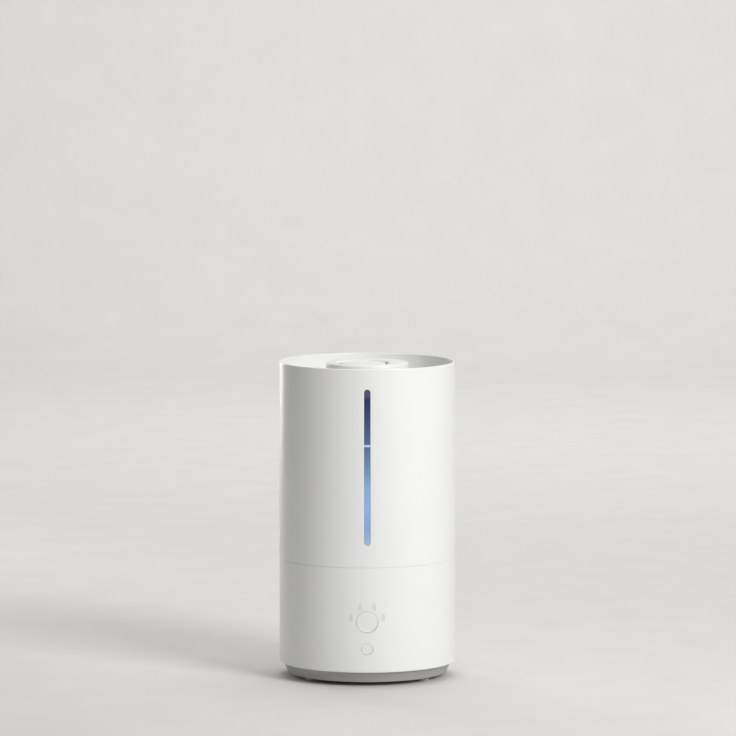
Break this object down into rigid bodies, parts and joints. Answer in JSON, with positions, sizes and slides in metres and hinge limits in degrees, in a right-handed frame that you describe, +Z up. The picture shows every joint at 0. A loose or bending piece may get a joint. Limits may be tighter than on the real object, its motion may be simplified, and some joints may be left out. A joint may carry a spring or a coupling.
{
  "type": "cool mist humidifier",
  "caption": "Top-fill ultrasonic humidifier: a white water tank with a lit level window and a turning mist nozzle, on a base with fan, mist maker and buttons.",
  "frame": {"origin": "on the standing surface, under the cylinder's axis", "axes": "+Z up, the front with the window and buttons faces -Y, +X to its right seen from the front"},
  "size_m": [0.198, 0.198, 0.356],
  "materials": {
    "white_shell": "satin",
    "white_lid": "satin",
    "deck_plastic": "satin",
    "tank_plastic": "translucent, smooth",
    "window_blue": "translucent, lit from behind",
    "level_line": "bright moulded line",
    "silicone": "soft silicone",
    "valve_plastic": "satin",
    "float_plastic": "satin",
    "steel": "stainless",
    "magnet": "plated",
    "transducer_metal": "fine brushed",
    "aluminium": "cast",
    "clear_plastic": "clear",
    "light_guide": "milky diffuser",
    "lamp": "clear resin",
    "board_green": "solder mask",
    "glass_reed": "smooth",
    "black_plastic": "fine texture",
    "motor_metal": "satin",
    "duct_plastic": "satin",
    "tray_grey": "fine texture",
    "filter_foam": "open foam",
    "gland_rubber": "matte",
    "foot_rubber": "translucent soft"
  },
  "bodies": {
    "base": {"air_duct": "duct_plastic", "air_stack": "deck_plastic", "base_deck": "deck_plastic", "base_shell": "white_shell", "basin_posts": "deck_plastic", "bottom_tray": "tray_grey", "capacitors": "motor_metal", "control_board": "board_green", "cord_gland": "gland_rubber", "deck_legs": "deck_plastic", "fan_housing": "black_plastic", "fan_motor": "motor_metal", "feet": "foot_rubber", "float_clip": "float_plastic", "heat_sink": "aluminium", "humidity_sensor": "board_green", "indicator_leds": "lamp", "intake_filter": "filter_foam", "light_board": "board_green", "light_guides": "light_guide", "light_lens": "clear_plastic", "light_well": "deck_plastic", "main_board": "board_green", "reed_switches": "glass_reed", "screws": "steel", "tact_switches": "black_plastic", "tank_gasket": "silicone", "terminal_block": "black_plastic", "transducer_clamp": "aluminium", "transducer_disc": "transducer_metal", "transducer_gasket": "silicone", "transformer": "motor_metal"},
    "tank": {"tank_shell": "white_shell", "tank_vessel": "tank_plastic", "mist_duct": "tank_plastic", "tank_spigot": "tank_plastic", "valve_neck": "tank_plastic", "tank_magnet": "magnet", "window_lens": "window_blue", "window_gasket": "silicone", "level_mark": "level_line", "valve_cap": "valve_plastic", "valve_cap_seal": "silicone", "valve_spring": "steel"},
    "valve": {"valve_stem": "valve_plastic", "valve_seal": "silicone"},
    "lid": {"lid_deck": "white_lid", "lid_collar": "white_lid", "lid_tube": "white_lid", "lid_seal": "silicone", "splash_baffle": "white_lid"},
    "nozzle": {"nozzle_platform": "white_lid", "outlet_ring": "white_lid", "nozzle_cap": "white_lid"},
    "float": {"float_body": "float_plastic", "float_magnet": "magnet"},
    "fan": {"fan_impeller": "black_plastic"},
    "mode_key": {"mode_button": "white_shell"},
    "power_key": {"power_button": "white_shell"}
  },
  "joints": [
    {"name": "tank_lift", "type": "slide", "parent": "base", "child": "tank", "axis": [0, 0, 1], "range_m": [0, 0.05]},
    {"name": "lid_lift", "type": "slide", "parent": "tank", "child": "lid", "axis": [0, 0, 1], "range_m": [0, 0.06]},
    {"name": "nozzle_turn", "type": "hinge", "parent": "lid", "child": "nozzle", "pos_m": [0, 0, 0.345], "axis": [0, 0, 1], "continuous": true},
    {"name": "valve_lift", "type": "slide", "parent": "tank", "child": "valve", "axis": [0, 0, 1], "range_m": [0, 0.004], "stiffness_N_per_m": 250, "springref_m": -0.004, "deforming": ["valve_spring"]},
    {"name": "float_rise", "type": "slide", "parent": "base", "child": "float", "axis": [0, 0, 1], "range_m": [0, 0.012]},
    {"name": "fan_spin", "type": "hinge", "parent": "base", "child": "fan", "pos_m": [-0.02, 0.008, 0.027], "axis": [0, 0, 1], "continuous": true},
    {"name": "mode_press", "type": "slide", "parent": "base", "child": "mode_key", "axis": [0, 1, 0], "range_m": [0, 0.001], "stiffness_N_per_m": 1200, "springref_m": -0.0005},
    {"name": "power_press", "type": "slide", "parent": "base", "child": "power_key", "axis": [0, 1, 0], "range_m": [0, 0.0008], "stiffness_N_per_m": 1200, "springref_m": -0.0005}
  ]
}
